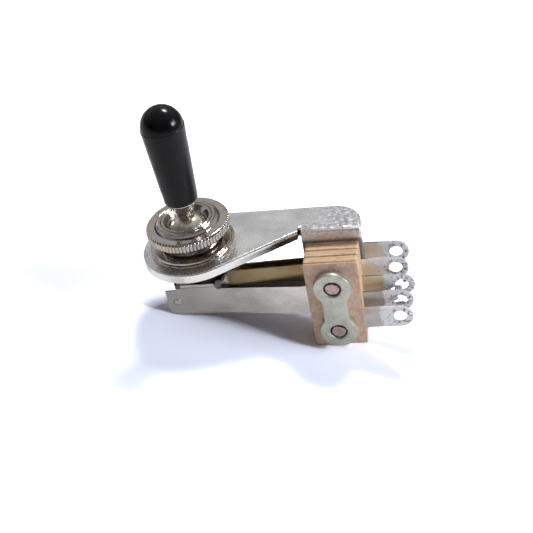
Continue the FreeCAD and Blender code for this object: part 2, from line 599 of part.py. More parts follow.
# The two outer leaves lean towards the lever; the two inner ones jog apart below it.
def makeLeaves():
    bendX = f"({flangeLeft} - 0.5)"
    outerRound = ("outerCornerRadius", "outerEndX", -size["contactDrop"])
    innerRound = ("innerFreeHeight / 2 - 0.05", "innerEndX", 0)
    plans = [
        ("front_outer_leaf", f"-{outerTabY}", "tabPlaneX", bendX, frontOuterY, outerOutline,
         frontOuterLugDrop, "frontOuterLugEndX", outerRound),
        ("front_inner_leaf", f"-{innerArmY}", "jogEndX", "frontJogX", frontInnerY, innerOutline,
         frontInnerLugDrop, "frontInnerLugEndX", innerRound),
        ("rear_inner_leaf", innerArmY, "jogEndX", "rearJogX", rearInnerY, innerOutline,
         rearInnerLugDrop, "rearInnerLugEndX", innerRound),
        ("rear_outer_leaf", outerTabY, "tabPlaneX", bendX, rearOuterY, outerOutline,
         rearOuterLugDrop, "rearOuterLugEndX", outerRound)]
    for label, armY, armFold, stackFold, stackY, outline, lugDrop, lugEnd, ends in plans:
        route = [("outerEndX - 1", armY), (armFold, armY), (stackFold, stackY),
                 (f"{lugEnd} + 1", stackY)]
        makeLeaf(label, route, outline, lugDrop, lugEnd, ends)


# A contact rivet: head towards its partner, shank through the leaf, peened tail.
def makeContact(label, leafY, inward):
    body = newBody(label)
    sign = "" if inward > 0 else "-"
    head, tail = "(leafSheet / 2 + contactHead)", "(leafSheet / 2 + contactTail)"
    profile = sketchOn(body, "XY_Plane")
    ends = [("0", head), ("contactRadius * 0.8", head), ("contactRadius", f"{head} - 0.15"),
            ("contactRadius", "leafSheet / 2"), ("contactShankRadius", "leafSheet / 2"),
            ("contactShankRadius", "-leafSheet / 2"), ("contactRadius", "-leafSheet / 2"),
            ("contactRadius * 0.75", f"-{tail}"), ("0", f"-{tail}")]
    polygon(profile, [(x, f"{sign}({y})") for x, y in ends])
    revolve(body, profile)
    moveTo(body, "contactX", leafY, "-contactDrop")
    return body


# Flat lug clamped behind the flange by the upper screw.
def makeGroundLug():
    body = newBody("ground_lug")
    profile = sketchOn(body, "XZ_Plane", f"-({flangeBackY} + groundSheet)")
    low, high = f"(-{groundLugDrop} - lugHeight / 2)", f"(lugHeight / 2 - {groundLugDrop})"
    polygon(profile, [("stackX", high), ("groundLugEndX", high),
                      ("groundLugEndX", low), ("stackX", low)])
    pad(body, profile, "groundSheet")
    eye = sketchOn(body, "XZ_Plane", f"-({flangeBackY} + groundSheet)")
    circle(eye, "stackX", f"-{screwUpperDrop}", "groundEyeRadius")
    pad(body, eye, "groundSheet")
    end = size["groundLugEndX"] - 1e-3
    roundEdges(body, "lugHeight / 2 - 0.02",
               lambda e: along(e, Vector(0, 1, 0)) and middle(e).x > end)
    holes = sketchOn(body, "XZ_Plane")
    circle(holes, "stackX", f"-{screwUpperDrop}", "screwRadius + screwPlay")
    circle(holes, "groundLugEndX - lugHeight / 2", f"-{groundLugDrop}", "lugHoleRadius")
    cutThrough(body, holes)
    return body


# Dumbbell plate, tapped for the two screws.
def makeClampPlate():
    body = newBody("clamp_plate")
    profile = sketchOn(body, "XZ_Plane", f"-{stackFrontY}")
    polygon(profile, [("stackX - clampWaist / 2", f"-{screwUpperDrop}"),
                      ("stackX + clampWaist / 2", f"-{screwUpperDrop}"),
                      ("stackX + clampWaist / 2", f"-{screwLowerDrop}"),
                      ("stackX - clampWaist / 2", f"-{screwLowerDrop}")])
    pad(body, profile, "clampSheet")
    for drop in screwDrops:
        lobe = sketchOn(body, "XZ_Plane", f"-{stackFrontY}")
        circle(lobe, "stackX", f"-{drop}", "clampLobeRadius")
        pad(body, lobe, "clampSheet")
    roundEdges(body, "clampLobeRadius * 0.55", lambda e: along(e, Vector(0, 1, 0)) and
               abs(abs(middle(e).x - size["stackX"]) - size["clampWaist"] / 2) < 1e-3 and
               len(e.Vertexes) == 2)
    holes = sketchOn(body, "XZ_Plane")
    for drop in screwDrops:
        circle(holes, "stackX", f"-{drop}", "screwRadius")
    cutThrough(body, holes)
    roundEdges(body, "tapChamfer", lambda e: len(e.Vertexes) == 1 and
               abs(e.Curve.Radius - size["screwRadius"]) < 1e-4 and
               e.Vertexes[0].Point.y < faceY(body) + 1e-4, kind="Chamfer")
    return body


def faceY(body):
    return body.Tip.Shape.BoundBox.YMin


# Cheese-head screw from behind the flange, its end just inside the clamp plate.
def makeScrew(label, drop, headY):
    body = newBody(label)
    end = f"({clampFrontY} + screwEndInset)"
    profile = sketchOn(body, "XY_Plane")
    polygon(profile, [
        ("0", end), ("screwRadius", end), ("screwRadius", headY), ("screwHeadRadius", headY),
        ("screwHeadRadius", f"{headY} + screwHeadHeight"), ("0", f"{headY} + screwHeadHeight")])
    revolve(body, profile)
    roundEdges(body, "screwEndRound", lambda e: len(e.Vertexes) == 1 and
               e.Vertexes[0].Point.y < faceY(body) + 1e-4)
    roundEdges(body, "screwHeadEdge", lambda e: len(e.Vertexes) == 1 and
               e.Vertexes[0].Point.y > body.Tip.Shape.BoundBox.YMax - 1e-4)
    slot = sketchOn(body, "XZ_Plane", f"-({headY} + screwHeadHeight)")
    polygon(slot, [("-screwHeadRadius - 1", "-screwSlotWidth / 2"),
                   ("screwHeadRadius + 1", "-screwSlotWidth / 2"),
                   ("screwHeadRadius + 1", "screwSlotWidth / 2"),
                   ("-screwHeadRadius - 1", "screwSlotWidth / 2")])
    cut = body.newObject("PartDesign::Pocket", label + "_slot")
    cut.Profile = slot
    cut.setExpression("Length", bound("screwSlotDepth"))
    cut.Reversed = True
    moveTo(body, "stackX", "0", f"-{drop}")
    return body


# Insulating tube round a screw, as long as the stack.
def makeTube(label, drop):
    body = newBody(label)
    profile = sketchOn(body, "XZ_Plane", "-flangeFrontY")
    circle(profile, "stackX", f"-{drop}", tubeRadius)
    circle(profile, "stackX", f"-{drop}", "screwRadius + screwPlay")
    pad(body, profile, f"flangeFrontY - {stackFrontY}")
    return body


# Solder bridge between the two inner lugs, which share one output.
def makeSolder():
    body = newBody("lug_solder")
    front, back = f"({frontInnerY} + leafSheet / 2)", f"({rearInnerY} - leafSheet / 2)"
    profile = sketchOn(body, "XY_Plane")
    polygon(profile, [
        ("0", front), ("solderRadius", front),
        ("solderWaist", f"({front} * 0.7 + {back} * 0.3)"),
        ("solderWaist", f"({front} * 0.3 + {back} * 0.7)"), ("solderRadius", back), ("0", back)])
    revolve(body, profile)
    moveTo(body, "solderX", "0", f"-({frontInnerLugDrop} + {rearInnerLugDrop}) / 2")
    return body


makeBracket()
makeBushing()
makeNut()
makeLever()
makeTip()
makeActuator()
makePin()
makeSheet("rear_insulator", "(flangeFrontY - insulatorSheet)", "insulatorSheet")
makeSheet("rear_spacer", f"({rearInnerY} + leafSheet / 2)", "spacerSheet")
makeSheet("middle_spacer", f"({frontInnerY} + leafSheet / 2)", "spacerSheet")
makeSheet("front_spacer", f"({frontOuterY} + leafSheet / 2)", "spacerSheet")
makeSheet("front_insulator", stackFrontY, "insulatorSheet")
makeLeaves()
makeContact("front_outer_contact", f"-{outerTabY}", 1)
makeContact("front_inner_contact", f"-{innerArmY}", -1)
makeContact("rear_inner_contact", innerArmY, 1)
makeContact("rear_outer_contact", outerTabY, -1)
makeGroundLug()
makeClampPlate()
makeScrew("upper_screw", screwUpperDrop, f"({flangeBackY} + groundSheet)")
makeScrew("lower_screw", screwLowerDrop, flangeBackY)
makeTube("upper_tube", screwUpperDrop)
makeTube("lower_tube", screwLowerDrop)
makeSolder()

# Check every object and write each piece

doc.recompute()
failed = [o.Name for o in doc.Objects if "Invalid" in o.State or "Error" in o.State]
if failed:
    raise RuntimeError("failed: " + ", ".join(failed))
pieces = [o for o in doc.Objects if o.TypeId in ("PartDesign::Body", "Part::Cylinder")]
os.makedirs("parts", exist_ok=True)
for piece in pieces:
    shape = piece.Shape
    if shape.isNull() or not shape.isValid() or len(shape.Solids) != 1:
        raise RuntimeError(f"{piece.Label} is not one valid solid")
    shape.exportStep(f"parts/{piece.Label}.step")
    box = shape.BoundBox
    print(f"{piece.Label:22s} {shape.Volume:9.2f} mm3  x {box.XMin:6.2f} {box.XMax:6.2f}"
          f"  y {box.YMin:6.2f} {box.YMax:6.2f}  z {box.ZMin:6.2f} {box.ZMax:6.2f}")
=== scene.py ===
import json
import math

import bmesh
import bpy
import numpy as np
from mathutils import Matrix, Vector


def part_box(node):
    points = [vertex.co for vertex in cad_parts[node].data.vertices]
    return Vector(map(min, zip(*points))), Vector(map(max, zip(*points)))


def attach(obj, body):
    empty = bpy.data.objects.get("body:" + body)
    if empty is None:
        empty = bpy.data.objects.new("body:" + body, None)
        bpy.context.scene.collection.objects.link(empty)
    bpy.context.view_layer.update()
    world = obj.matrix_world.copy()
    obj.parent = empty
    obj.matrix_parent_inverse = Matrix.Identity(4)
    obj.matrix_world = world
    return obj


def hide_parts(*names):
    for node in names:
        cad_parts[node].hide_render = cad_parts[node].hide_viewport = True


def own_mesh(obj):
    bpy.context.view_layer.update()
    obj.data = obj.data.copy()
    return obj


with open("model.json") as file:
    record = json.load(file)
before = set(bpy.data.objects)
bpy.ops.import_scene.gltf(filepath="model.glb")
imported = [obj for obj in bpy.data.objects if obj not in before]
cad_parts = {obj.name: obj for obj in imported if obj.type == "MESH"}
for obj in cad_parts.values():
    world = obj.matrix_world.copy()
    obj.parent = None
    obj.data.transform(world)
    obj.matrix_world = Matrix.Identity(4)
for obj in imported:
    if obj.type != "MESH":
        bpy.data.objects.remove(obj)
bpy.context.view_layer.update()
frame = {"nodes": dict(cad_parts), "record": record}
mm = 0.001  # lengths below are in millimetres, Blender's are in metres
nodes = frame["nodes"]
print("toggle switch: frame loaded with", len(nodes), "pieces")


# finishes: a node's output that can stand in plain arithmetic
class Wire:
    def __init__(self, finish, socket):
        self.finish = finish
        self.socket = socket

    def maths(self, operation, first, second):
        return self.finish.node("ShaderNodeMath", {"operation": operation}, {0: first, 1: second})

    def __add__(self, other):
        return self.maths("ADD", self, other)

    def __radd__(self, other):
        return self.maths("ADD", other, self)

    def __sub__(self, other):
        return self.maths("SUBTRACT", self, other)

    def __rsub__(self, other):
        return self.maths("SUBTRACT", other, self)

    def __mul__(self, other):
        return self.maths("MULTIPLY", self, other)

    def __rmul__(self, other):
        return self.maths("MULTIPLY", other, self)

    def __truediv__(self, other):
        return self.maths("DIVIDE", self, other)

    def __pow__(self, other):
        return self.maths("POWER", self, other)

    def __abs__(self):
        return self.maths("ABSOLUTE", self, 0.0)


# how far a point is from a middle, by its two distances from it
def reachOf(across, up):
    return (across * across + up * up) ** 0.5


# stops of a colour ramp, each a position and a colour
def setStops(ramp, stops):
    while len(ramp) < len(stops):
        ramp.new(0.5)
    for element, (position, colour) in zip(ramp, stops):
        element.position = position
        element.color = (*colour, 1.0)


# one material, built node by node; places are in millimetres on the piece
class Finish:
    def __init__(self, name, slot):
        self.material = bpy.data.materials.new(name)
        self.material.use_nodes = True
        self.tree = self.material.node_tree
        self.tree.nodes.clear()
        self.slot = slot
        place = self.node("ShaderNodeTexCoord", {}, {}, "Object")
        self.place = self.node("ShaderNodeVectorMath", {"operation": "SCALE"},
                               {0: place, "Scale": 1 / mm})
        self.x, self.y, self.z = self.split(self.place)

    def node(self, kind, settings, sockets, output=0):
        made = self.tree.nodes.new(kind)
        for name, value in settings.items():
            if name == "stops":
                setStops(made.color_ramp.elements, value)
            else:
                setattr(made, name, value)
        for name, value in sockets.items():
            if isinstance(value, Wire):
                self.tree.links.new(value.socket, made.inputs[name])
            else:
                made.inputs[name].default_value = value
        return Wire(self, made.outputs[output])

    def split(self, vector):
        made = self.node("ShaderNodeSeparateXYZ", {}, {0: vector}).socket.node
        return [Wire(self, made.outputs[i]) for i in range(3)]

    # the way the surface faces, as X, Y and Z
    def facing(self):
        return self.split(self.node("ShaderNodeTexCoord", {}, {}, "Normal"))

    # cloud pattern whose features are about `size` mm, drawn out by `stretch` along X, Y, Z;
    # another `shift` gives another pattern
    def clouds(self, size, stretch=(1, 1, 1), detail=4.0, roughness=0.55, shift=0.0):
        moved = self.node("ShaderNodeMapping", {}, {
            "Vector": self.place, "Location": (shift, shift * 0.7, shift * 1.3),
            "Scale": tuple(1 / (size * s) for s in stretch)})
        return self.node("ShaderNodeTexNoise", {}, {
            "Vector": moved, "Scale": 1.0, "Detail": detail, "Roughness": roughness}, "Fac")

    # 0 below `low`, 1 above `high`, straight between
    def step(self, value, low, high):
        return self.node("ShaderNodeMapRange", {}, {
            "Value": value, "From Min": low, "From Max": high, "To Min": 0.0, "To Max": 1.0})

    def ramp(self, value, *stops):
        return self.node("ShaderNodeValToRGB", {"stops": stops}, {0: value})

    # the Mix node's colours are its inputs 6 and 7 and its output 2
    def mix(self, factor, first, second):
        made = self.node("ShaderNodeMix", {"data_type": "RGBA"}, {"Factor": factor})
        for socket, colour in ((6, first), (7, second)):
            if isinstance(colour, Wire):
                self.tree.links.new(colour.socket, made.socket.node.inputs[socket])
            else:
                made.socket.node.inputs[socket].default_value = (*colour, 1.0)
        return Wire(self, made.socket.node.outputs[2])

    # `height` runs from 0 to 1 and stands for `depth` mm; `under` is a bump already there
    def bump(self, height, depth, strength, under=None):
        sockets = {"Height": height, "Distance": depth * mm, "Strength": strength}
        if under is not None:
            sockets["Normal"] = under
        return self.node("ShaderNodeBump", {}, sockets)

    def output(self, shader):
        out = self.tree.nodes.new("ShaderNodeOutputMaterial")
        self.tree.links.new(shader.socket, out.inputs["Surface"])
        return self

    def surface(self, **sockets):
        names = {key.replace("_", " "): value if not isinstance(value, tuple) else (*value, 1.0)
                 for key, value in sockets.items()}
        return self.output(self.node("ShaderNodeBsdfPrincipled", {}, names))


# pairs are places in mm between which a mark fades in: along X or Z, or across the bend
plateLook = {
    "light": (0.80, 0.80, 0.79), "dark": (0.58, 0.59, 0.61), "smudge": 4.5, "grain": 0.32,
    "roughness": 0.24, "wornAndHighlight": (0.92, 0.90, 0.86),
    "speck": 0.6, "speckledX": (25.0, 33.0), "speckled": (0.44, 0.44, 0.48),
    "speckledDark": (0.22, 0.22, 0.26),
    "bendX": (20.3, 20.6), "bendY": 1.85, "line": (0.34, 0.16),
    "dirt": (0.30, 0.25, 0.21), "dirtFar": (3.0, 1.2), "dirtNear": (0.2, 0.5),
    "bend": (0.84, 0.79, 0.76), "bendDark": (0.62, 0.57, 0.55), "bendNear": (-0.2, -0.6),
    "low": (0.12, 0.10, 0.10), "lowShadeNear": (-2.0, -2.6),
    "under": (0.09, 0.08, 0.08), "underShadeX": (8.0, 15.0), "underShadeZ": (-0.55, -0.75)}


# nickel plate: a cloudy sheet, speckled at its end, with a bright line along the bend that is
# partly wear, partly painted highlight; painted reflection on its edge faces, painted shade below
# them
def satinPlate():
    look = plateLook
    made = Finish("satin_plate", "satin_nickel_plate")
    smudge = made.clouds(look["smudge"], (1.6, 1, 1), detail=5.0)
    grain = made.clouds(look["grain"], detail=3.0, shift=3.0)
    speck = made.clouds(look["speck"], (1.4, 1, 1), detail=5.0, roughness=0.7, shift=7.0)
    end = made.step(made.x + smudge * 10, *look["speckledX"])
    tone = smudge * 0.8 + grain * 0.2
    sheet = made.ramp(tone, (0.36, look["dark"]), (0.6, look["light"]))
    speckled = made.ramp(speck, (0.36, look["speckledDark"]), (0.50, look["speckled"]),
                         (0.66, look["wornAndHighlight"]))
    colour = made.mix(end * 0.85, sheet, speckled)
    overBend = made.step(made.x, *look["bendX"])
    past = made.y - look["bendY"] + made.z  # above 0 on the plate, below 0 on the flange
    dirty = (made.step(past, *look["dirtFar"]) * made.step(past, *look["dirtNear"]) * overBend
             * made.step(speck + smudge * 0.5, 0.82, 0.62))
    colour = made.mix(dirty * 0.8, colour, look["dirt"])
    front = made.step(past, *look["bendNear"]) * overBend
    face = made.ramp(speck, (0.34, look["bendDark"]), (0.52, look["bend"]), (0.64, look["wornAndHighlight"]))
    # the flange face painted darker towards its foot by the stack: painted shade
    face = made.mix(made.step(past, *look["lowShadeNear"]) * 0.8, face, look["low"])
    colour = made.mix(front, colour, face)
    # the bright line along the bend's corner: partly wear, partly a painted highlight
    line = made.step(abs(past + (grain - 0.5) * 0.8), *look["line"]) * overBend
    line = line * made.step(speck, 0.34, 0.44)
    colour = made.mix(line, colour, look["wornAndHighlight"])
    # the sheet's edge faces left of the bend painted lighter: a painted reflection of the floor
    rim = made.step(made.facing()[2], 0.5, 0.2) * (1 - overBend)
    colour = made.mix(rim * 0.7, colour, look["wornAndHighlight"])
    # painted shade along the lower part of those edge faces
    under = rim * made.step(made.z, *look["underShadeZ"]) * made.step(made.x, *look["underShadeX"])
    colour = made.mix(under * 0.95, colour, look["under"])
    rough = (grain * 0.12 + speck * end * 0.16 + (look["roughness"] - 0.04) + line * 0.25
             + front * 0.2)
    bump = made.bump(grain * 0.4 + smudge + speck * end, 0.012, 0.5)
    return made.surface(Base_Color=colour, Metallic=0.95 - front * 0.35 - line * 0.3,
                        Roughness=rough, Normal=bump)


brightLook = {"nut": (0.48, 0.45, 0.44), "nutRoughness": 0.10, "lever": (0.84, 0.82, 0.80),
              "leverRoughness": 0.24, "stain": (0.33, 0.30, 0.285),
              "tarnish": (0.50, 0.42, 0.29), "latheStep": 0.11, "latheDepth": 0.0022}


# bright plating over turned metal: fine rings round the Z axis; `kind` is nut or lever
def brightPlate(name, kind):
    look = brightLook
    made = Finish(name, "bright_nickel")
    radius = reachOf(made.x, made.y)
    rings = made.node("ShaderNodeTexNoise", {"noise_dimensions": "2D"}, {
        "Vector": made.node("ShaderNodeCombineXYZ", {}, {
            0: radius / look["latheStep"], 1: made.z / look["latheStep"]}),
        "Scale": 1.0, "Detail": 2.0}, "Fac")
    stain = made.clouds(1.6, detail=5.0)
    colour = made.ramp(stain, (0.3, look["stain"]), (0.5, look[kind]))
    tarnish = made.step(made.clouds(2.4, detail=3.0, shift=4.0), 0.50, 0.60)
    colour = made.mix(tarnish * 0.6, colour, look["tarnish"])
    rough = stain * 0.12 + (look[kind + "Roughness"] - 0.04)
    return made.surface(Base_Color=colour, Metallic=1.0, Roughness=rough,
                        Normal=made.bump(rings, look["latheDepth"], 0.5))


tipLook = {"colour": (0.0030, 0.0030, 0.0050), "roughness": 0.19, "ior": 1.31}


# black moulding, slightly hazed where fingers have been
def blackTip():
    look = tipLook
    made = Finish("black_tip_moulding", "black_tip")
    haze = made.clouds(2.5, detail=5.0)
    speck = made.clouds(0.25, detail=2.0)
    return made.surface(Base_Color=look["colour"], IOR=look["ior"],
                        Roughness=haze * 0.12 + (look["roughness"] - 0.06),
                        Normal=made.bump(speck + haze * 3, 0.006, 0.4))


nylonLook = {"colour": (0.02, 0.02, 0.02), "roughness": 0.42}


def blackNylon():
    look = nylonLook
    made = Finish("black_nylon_cap", "black_nylon")
    fleck = made.clouds(0.2, detail=3.0)
    return made.surface(Base_Color=look["colour"], Roughness=fleck * 0.2 + look["roughness"],
                        Normal=made.bump(fleck, 0.02, 0.5))


# each leaf's metal, where its solder starts (at X tinFrom where Z is 0, leaning with Z),
# and its lug's hole; the inner leaves' arms are a darker gold than their lugs: painted
# reflection and shade on one metal
leafKinds = {
    "front_outer_leaf": {"light": (0.68, 0.65, 0.63), "dark": (0.51, 0.48, 0.46),
                         "tinFrom": 34.2, "hole": (37.95, -16.75)},
    "front_inner_leaf": {"light": (0.62, 0.59, 0.57), "dark": (0.40, 0.37, 0.35),
                         "armLight": (0.30, 0.23, 0.13), "armDark": (0.21, 0.15, 0.08),
                         "tinFrom": 35.0, "hole": (38.15, -14.4)},
    "rear_inner_leaf": {"light": (0.88, 0.76, 0.58), "dark": (0.66, 0.55, 0.38),
                        "armLight": (0.50, 0.40, 0.26), "armDark": (0.34, 0.25, 0.14),
                        "tinFrom": 35.2, "hole": (38.55, -12.1)},
    "rear_outer_leaf": {"light": (0.98, 0.92, 0.84), "dark": (0.82, 0.75, 0.66),
                        "tinFrom": 28.9, "lean": 0.5, "hole": (37.55, -9.4)},
    "ground_lug": {"light": (0.86, 0.76, 0.63), "dark": (0.64, 0.54, 0.42),
                   "armLight": (0.86, 0.76, 0.63), "armDark": (0.64, 0.54, 0.42),
                   "tinFrom": 32.2, "lean": 0.44, "hole": (37.75, -7.5)}}
# what a leaf above doesn't say for itself; the pairs are places along X between which a mark
# fades in
leafLook = {"armLight": (0.68, 0.65, 0.63), "armDark": (0.51, 0.48, 0.46), "lean": 0.0,
            "brushed": 0.09, "tinned": (0.92, 0.92, 0.96), "tinnedDark": (0.36, 0.35, 0.36),
            "burntTo": 3.0, "lugX": (30.8, 31.4), "endX": (6.0, -4.0), "foldX": (9.4, 8.8),
            "jog": (0.60, 0.57, 0.55), "jogX": (5.9, 5.4), "edge": (0.10, 0.075, 0.055),
            "clampedEdge": (0.52, 0.36, 0.24), "clampedX": (20.0, 20.4),
            "shaded": (0.04, 0.03, 0.025), "shadedX": (30.0, 24.0)}


# spring metal: brushed along the leaf, cut edges partly painted shade, dull solder over the lug
def leafMetal(node):
    look = dict(leafLook, **leafKinds[node])
    inner = node in ("front_inner_leaf", "rear_inner_leaf")
    made = Finish(node + "_metal", "leaf_metal")
    brushed = made.clouds(look["brushed"], (60, 1, 1), detail=2.0)
    stain = made.clouds(2.6, (1.6, 1, 1), detail=6.0, shift=5.0)
    tone = stain * 0.75 + brushed * 0.25
    lug = made.step(made.x, *look["lugX"])
    colour = made.mix(lug, made.ramp(tone, (0.36, look["armDark"]), (0.58, look["armLight"])),
                      made.ramp(tone, (0.36, look["dark"]), (0.58, look["light"])))
    if inner:
        # the inner leaves' bent ends painted a lighter grey: a painted lit facet
        colour = made.mix(made.step(made.x, *look["jogX"]), colour, look["jog"])
    if node == "front_outer_leaf":
        colour = made.mix(made.step(made.x, *look["endX"]) * 0.5, colour, look["armDark"])
        colour = tabAndRivet(made, colour)
    ragged = made.clouds(0.9, detail=4.0, shift=9.0)
    solder = made.step(made.x + made.z * look["lean"] + ragged * 1.6 - 0.8,
                       look["tinFrom"] - 0.15, look["tinFrom"] + 0.15)
    mottle = made.clouds(0.6, detail=6.0, roughness=0.7, shift=2.0)
    tinned = made.ramp(mottle, (0.32, look["tinnedDark"]), (0.45, look["tinned"]))
    colour = made.mix(solder, colour, tinned)
    radius = reachOf(made.x - look["hole"][0], made.z - look["hole"][1])
    burnt = made.step(radius + mottle * 1.6, look["burntTo"], look["burntTo"] - 0.5)
    colour = made.mix(burnt * made.step(mottle, 0.50, 0.42) * 0.9, colour, look["edge"])
    facing, upward = made.facing()[1:]
    if node == "rear_outer_leaf":
        shaded = made.step(facing, -0.5, -0.8) * made.step(made.x, *look["shadedX"])
        colour = made.mix(shaded * 0.95, colour, look["shaded"])
    # the cut edges painted near black, partly painted shade
    cut = made.step(abs(facing), 0.75, 0.35)
    if inner:  # the folds' slopes are no cut edges
        cut = cut * (1 - made.step(abs(upward), 0.5, 0.3) * made.step(made.x, *look["foldX"]))
    edge = look["edge"]
    if node == "front_outer_leaf":
        edge = made.mix(made.step(made.x, *look["clampedX"]), look["edge"], look["clampedEdge"])
    colour = made.mix(cut * (1 - solder * 0.45), colour, edge)
    scratch = made.bump(brushed, 0.006, 0.5)
    bump = made.bump(mottle * solder, 0.10, 0.7, scratch)
    rough = brushed * 0.1 + stain * 0.12 + 0.2 + lug * 0.15 + solder * 0.05
    return made.surface(Base_Color=colour, Metallic=0.95 - lug * 0.5, Roughness=rough, Normal=bump)


# the tab lies between x and endX, its painted light band above bandZ; rivet is the contact's place
tabLook = {"x": (4.2, 3.9), "endX": (-5.0, -4.8), "band": (0.68, 0.66, 0.64),
           "bandZ": (-8.22, -8.12), "foldShade": (0.20, 0.17, 0.14), "foldZ": -8.28,
           "stubShade": (0.14, 0.10, 0.07), "stubX": (-3.7, -3.9), "stubZ": (-8.5, -8.3),
           "rivet": (-5.0, -11.65), "rivetRadius": 0.78, "rivetShade": (0.22, 0.19, 0.16)}


# painted light and shade on the tab: a lit band over a shaded fold line, a shaded patch at its
# end, and a painted shadow ring round the contact's peened tail
def tabAndRivet(made, colour):
    look = tabLook
    end = made.step(made.x, *look["endX"])
    tab = made.step(made.x, *look["x"]) * end
    # a lighter band painted on the tab's top: painted light
    colour = made.mix(made.step(made.z, *look["bandZ"]) * tab, colour, look["band"])
    # a dark line along the fold and a dark patch at the tab's end: painted shade
    foldShade = made.step(abs(made.z - look["foldZ"]), 0.12, 0.05) * tab
    stubShade = made.step(made.x, *look["stubX"]) * end * made.step(made.z, *look["stubZ"])
    colour = made.mix(foldShade * 0.7, colour, look["foldShade"])
    colour = made.mix(stubShade * 0.9, colour, look["stubShade"])
    # a painted shadow ring round the contact's tail, darkest on its lower left
    across, up = made.x - look["rivet"][0], made.z - look["rivet"][1]
    ring = made.step(abs(reachOf(across, up) - look["rivetRadius"]), 0.2, 0.05)
    low = made.step(across + up, 0.5, -0.7)
    return made.mix(ring * (low * 0.6 + 0.25), colour, look["rivetShade"])


phenolicLook = {"face": (0.98, 0.70, 0.55), "faceDark": (0.76, 0.51, 0.38),
                "edge": (0.84, 0.58, 0.37), "edgeDark": (0.47, 0.28, 0.16), "ply": 0.11}


# paper laminate: a flat pinkish face, and plies that show along the cut edges
def phenolic():
    look = phenolicLook
    made = Finish("phenolic_laminate", "phenolic")
    flat = made.step(abs(made.facing()[1]), 0.5, 0.9)
    mottle = made.clouds(0.9, detail=5.0)
    face = made.ramp(mottle, (0.35, look["faceDark"]), (0.6, look["face"]))
    plies = made.clouds(look["ply"], (40, 1, 40), detail=2.0)
    edge = made.ramp(plies * 0.75 + mottle * 0.25, (0.36, look["edgeDark"]), (0.56, look["edge"]))
    return made.surface(Base_Color=made.mix(flat, edge, face), Roughness=0.5 + mottle * 0.15,
                        Normal=made.bump(plies * (1 - flat) + mottle * 0.3, 0.03, 0.5))


zincLook = {"light": (0.60, 0.61, 0.55), "dark": (0.43, 0.44, 0.39)}


# dull zinc: soft clouds and a fine grain
def zincPlate():
    look = zincLook
    made = Finish("zinc_clamp", "zinc_plate")
    cloud = made.clouds(1.8, detail=6.0)
    fine = made.clouds(0.18, detail=2.0)
    colour = made.ramp(cloud * 0.8 + fine * 0.2, (0.32, look["dark"]), (0.58, look["light"]))
    return made.surface(Base_Color=colour, Metallic=0.85, Roughness=fine * 0.15 + 0.36,
                        Normal=made.bump(fine + cloud, 0.012, 0.5))


screwLook = {"end": (0.52, 0.40, 0.37), "endDark": (0.36, 0.26, 0.25), "ring": (0.05, 0.035, 0.03),
             "x": 26.1, "upperZ": -7.95, "lowerZ": -18.4, "disc": 1.22, "ringWidth": 0.16,
             "frontY": (-2.0, -3.0)}


# screw ends: a pinkish disc in a dark ring, painted shade in the gap round the end
def screwSteel():
    look = screwLook
    made = Finish("screw_steel", "steel")
    cloud = made.clouds(0.7, detail=5.0)
    colour = made.ramp(cloud, (0.35, look["endDark"]), (0.6, look["end"]))
    middle, apart = (look["upperZ"] + look["lowerZ"]) / 2, (look["upperZ"] - look["lowerZ"]) / 2
    radius = reachOf(made.x - look["x"], abs(made.z - middle) - apart)
    # painted shade round the screw's end
    ring = made.step(radius, look["disc"], look["disc"] + look["ringWidth"])
    ring = ring * made.step(made.y, *look["frontY"])
    colour = made.mix(ring * 0.9, colour, look["ring"])
    return made.surface(Base_Color=colour, Metallic=0.9, Roughness=cloud * 0.15 + 0.2,
                        Normal=made.bump(cloud, 0.006, 0.4))


contactLook = {"light": (0.76, 0.75, 0.72), "dark": (0.50, 0.48, 0.45), "roughness": 0.2}


def contactSilver():
    look = contactLook
    made = Finish("contact_rivet_silver", "contact_silver")
    cloud = made.clouds(0.3, detail=4.0)
    colour = made.ramp(cloud, (0.35, look["dark"]), (0.6, look["light"]))
    return made.surface(Base_Color=colour, Metallic=1.0,
                        Roughness=cloud * 0.2 + look["roughness"],
                        Normal=made.bump(cloud, 0.015, 0.5))


solderLook = {"light": (0.72, 0.72, 0.73), "dark": (0.34, 0.34, 0.35), "roughness": 0.16}


def solderMetal():
    look = solderLook
    made = Finish("solder_metal", "solder")
    cloud = made.clouds(0.5, detail=6.0, roughness=0.65)
    colour = made.ramp(cloud, (0.35, look["dark"]), (0.6, look["light"]))
    return made.surface(Base_Color=colour, Metallic=0.95,
                        Roughness=cloud * 0.25 + look["roughness"],
                        Normal=made.bump(cloud, 0.08, 0.6))


tubeLook = {"light": (0.48, 0.32, 0.21), "dark": (0.34, 0.22, 0.14), "roughness": 0.6}


def tubeResin():
    look = tubeLook
    made = Finish("tube_resin", "tube_resin")
    cloud = made.clouds(0.5, detail=4.0)
    colour = made.ramp(cloud, (0.35, look["dark"]), (0.6, look["light"]))
    return made.surface(Base_Color=colour, Roughness=look["roughness"],
                        Normal=made.bump(cloud, 0.02, 0.4))


finishes = {"bracket": satinPlate(), "bright": brightPlate("bright_plate", "nut"),
            "lever": brightPlate("lever_plate", "lever"), "tip": blackTip(),
            "nylon": blackNylon(), "phenolic": phenolic(), "clamp": zincPlate(),
            "screw": screwSteel(), "contact": contactSilver(), "solder": solderMetal(),
            "tube": tubeResin()}
finishes.update({node: leafMetal(node) for node in leafKinds})
print("toggle switch: finishes made")


# where a node lies, in millimetres
def boxOf(node):
    low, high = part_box(node)
    return np.array(low) / mm, np.array(high) / mm


# the body that each node rides on, as the record has it
bodyOf = {node: body for body, group in frame["record"]["behaviour"]["bodies"].items()
          for node in group}


